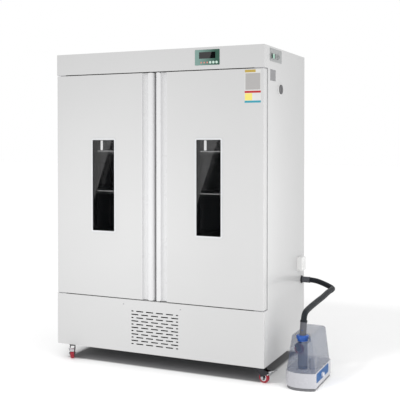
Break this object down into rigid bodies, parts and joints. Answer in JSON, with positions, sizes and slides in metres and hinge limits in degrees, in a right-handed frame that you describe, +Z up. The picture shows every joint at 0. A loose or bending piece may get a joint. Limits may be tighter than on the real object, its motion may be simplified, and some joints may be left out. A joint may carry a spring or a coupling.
{
  "type": "humidity incubator",
  "caption": "Tall two-door humidity incubator on swivel castors, with windowed doors, air grille, side controls and a floor-standing humidifier that feeds it through a hose.",
  "frame": {"origin": "on the floor, below the middle of the cabinet and humidifier's joint bounding box", "axes": "+Z up, +X to the viewer's right, +Y away from the viewer: the doors face -Y and the humidifier stands on the +X side"},
  "size_m": [1.7144, 0.8424, 1.93],
  "materials": {
    "white_paint": "smooth powder coat",
    "handle_paint": "satin",
    "frame_paint": "matt",
    "stainless": "brushed",
    "foam": "matt foam",
    "inner_plastic": "satin",
    "gasket_rubber": "matt",
    "window_plastic": "satin",
    "window_glass": "clear, tinted",
    "bezel_green": "gloss",
    "board_green": "matt",
    "screen_black": "gloss",
    "key_mint": "gloss",
    "plate_grey": "satin",
    "rocker_green": "gloss",
    "black_plastic": "matt",
    "port_white": "gloss",
    "plug_rubber": "matt",
    "zinc": "bright zinc",
    "red_tyre": "gloss polyurethane",
    "compressor_black": "gloss",
    "fin_aluminium": "mill",
    "base_white": "gloss",
    "tank_blue": "translucent moulding",
    "nozzle_blue": "gloss",
    "panel_blue": "gloss",
    "knob_white": "gloss",
    "hose_grey": "satin",
    "cuff_grey": "satin"
  },
  "bodies": {
    "cabinet": {"base_frame": "frame_paint", "castor_plates": "zinc", "chamber_liner": "stainless", "compressor": "compressor_black", "condenser": "fin_aluminium", "controller_bezel": "bezel_green", "controller_board": "board_green", "display_screen": "screen_black", "duct_panel": "stainless", "evaporator_coil": "fin_aluminium", "front_frame": "inner_plastic", "hinge_brackets": "zinc", "hose_cuffs": "cuff_grey", "hose_inlet": "black_plastic", "humidifier_base": "base_white", "humidifier_panel": "panel_blue", "humidifier_tank": "tank_blue", "humidity_hose": "hose_grey", "insulation_boards": "foam", "left_side_panel": "white_paint", "nozzle_collar": "nozzle_blue", "plinth_panel": "white_paint", "port_sleeve": "port_white", "rear_panel": "white_paint", "right_side_panel": "white_paint", "shelves": "stainless", "socket_box": "port_white", "switch_plate": "plate_grey", "top_fascia": "white_paint", "top_panel": "white_paint"},
    "right_door": {"door_shell_right": "white_paint", "door_liner_right": "inner_plastic", "door_gasket_right": "gasket_rubber", "window_frame_right": "window_plastic", "window_glass_right": "window_glass", "handle_right": "handle_paint"},
    "left_door": {"door_shell_left": "white_paint", "door_liner_left": "inner_plastic", "door_gasket_left": "gasket_rubber", "window_frame_left": "window_plastic", "window_glass_left": "window_glass", "handle_left": "handle_paint"},
    "castor_fork_front_left": {"castor_fork_front_left": "zinc"},
    "castor_wheel_front_left": {"castor_wheel_front_left": "red_tyre"},
    "castor_brake_front_left": {"castor_brake_front_left": "zinc"},
    "castor_fork_front_right": {"castor_fork_front_right": "zinc"},
    "castor_wheel_front_right": {"castor_wheel_front_right": "red_tyre"},
    "castor_brake_front_right": {"castor_brake_front_right": "zinc"},
    "castor_fork_rear_left": {"castor_fork_rear_left": "zinc"},
    "castor_wheel_rear_left": {"castor_wheel_rear_left": "red_tyre"},
    "castor_fork_rear_right": {"castor_fork_rear_right": "zinc"},
    "castor_wheel_rear_right": {"castor_wheel_rear_right": "red_tyre"},
    "key_1": {"key_1": "key_mint"},
    "key_2": {"key_2": "key_mint"},
    "key_3": {"key_3": "key_mint"},
    "rocker_switch": {"rocker_switch": "rocker_green"},
    "port_plug": {"port_plug": "plug_rubber"},
    "humidifier_knob": {"humidifier_knob": "knob_white"},
    "circulation_fan": {"circulation_fan": "black_plastic"},
    "condenser_fan": {"condenser_fan": "black_plastic"}
  },
  "joints": [
    {"name": "right_door_hinge", "type": "hinge", "parent": "cabinet", "child": "right_door", "pos_m": [0.52775, -0.3288, 1.106], "axis": [0, 0, 1], "range_deg": [0, 120]},
    {"name": "left_door_hinge", "type": "hinge", "parent": "cabinet", "child": "left_door", "pos_m": [-0.84225, -0.3288, 1.106], "axis": [0, 0, -1], "range_deg": [0, 120]},
    {"name": "front_left_swivel", "type": "hinge", "parent": "cabinet", "child": "castor_fork_front_left", "pos_m": [-0.77225, -0.3108, 0.08], "axis": [0, 0, 1], "continuous": true},
    {"name": "front_left_roll", "type": "hinge", "parent": "castor_fork_front_left", "child": "castor_wheel_front_left", "pos_m": [-0.75535, -0.34258, 0.0315], "axis": [0.8829, 0.4695, 0], "continuous": true},
    {"name": "front_left_brake_pedal", "type": "hinge", "parent": "castor_fork_front_left", "child": "castor_brake_front_left", "pos_m": [-0.73845, -0.37437, 0.065], "axis": [0.8829, 0.4695, 0], "range_deg": [0, 15]},
    {"name": "front_right_swivel", "type": "hinge", "parent": "cabinet", "child": "castor_fork_front_right", "pos_m": [0.49775, -0.3108, 0.08], "axis": [0, 0, 1], "continuous": true},
    {"name": "front_right_roll", "type": "hinge", "parent": "castor_fork_front_right", "child": "castor_wheel_front_right", "pos_m": [0.53199, -0.32192, 0.0315], "axis": [0.309, 0.9511, 0], "continuous": true},
    {"name": "front_right_brake_pedal", "type": "hinge", "parent": "castor_fork_front_right", "child": "castor_brake_front_right", "pos_m": [0.56623, -0.33305, 0.065], "axis": [0.309, 0.9511, 0], "range_deg": [0, 15]},
    {"name": "rear_left_swivel", "type": "hinge", "parent": "cabinet", "child": "castor_fork_rear_left", "pos_m": [-0.81225, 0.3612, 0.08], "axis": [0, 0, 1], "continuous": true},
    {"name": "rear_left_roll", "type": "hinge", "parent": "castor_fork_rear_left", "child": "castor_wheel_rear_left", "pos_m": [-0.77842, 0.37351, 0.0315], "axis": [-0.342, 0.9397, 0], "continuous": true},
    {"name": "rear_right_swivel", "type": "hinge", "parent": "cabinet", "child": "castor_fork_rear_right", "pos_m": [0.49775, 0.3612, 0.08], "axis": [0, 0, 1], "continuous": true},
    {"name": "rear_right_roll", "type": "hinge", "parent": "castor_fork_rear_right", "child": "castor_wheel_rear_right", "pos_m": [0.5332, 0.35495, 0.0315], "axis": [0.1736, 0.9848, 0], "continuous": true},
    {"name": "key_1_press", "type": "slide", "parent": "cabinet", "child": "key_1", "axis": [0, 1, 0], "range_m": [0, 0.0015], "stiffness_N_per_m": 400},
    {"name": "key_2_press", "type": "slide", "parent": "cabinet", "child": "key_2", "axis": [0, 1, 0], "range_m": [0, 0.0015], "stiffness_N_per_m": 400},
    {"name": "key_3_press", "type": "slide", "parent": "cabinet", "child": "key_3", "axis": [0, 1, 0], "range_m": [0, 0.0015], "stiffness_N_per_m": 400},
    {"name": "rocker_tilt", "type": "hinge", "parent": "cabinet", "child": "rocker_switch", "pos_m": [0.54595, -0.2218, 1.875], "axis": [0, 0, -1], "range_deg": [0, 12]},
    {"name": "port_plug_pull", "type": "slide", "parent": "cabinet", "child": "port_plug", "axis": [1, 0, 0], "range_m": [0, 0.06]},
    {"name": "humidifier_knob_turn", "type": "hinge", "parent": "cabinet", "child": "humidifier_knob", "pos_m": [0.85725, -0.2308, 0.062], "axis": [1, 0, 0], "range_deg": [-135, 135]},
    {"name": "circulation_fan_spin", "type": "hinge", "parent": "cabinet", "child": "circulation_fan", "pos_m": [-0.15725, 0.2992, 1.64], "axis": [0, 1, 0], "continuous": true},
    {"name": "condenser_fan_spin", "type": "hinge", "parent": "cabinet", "child": "condenser_fan", "pos_m": [-0.15725, -0.1868, 0.237], "axis": [0, 1, 0], "continuous": true}
  ]
}
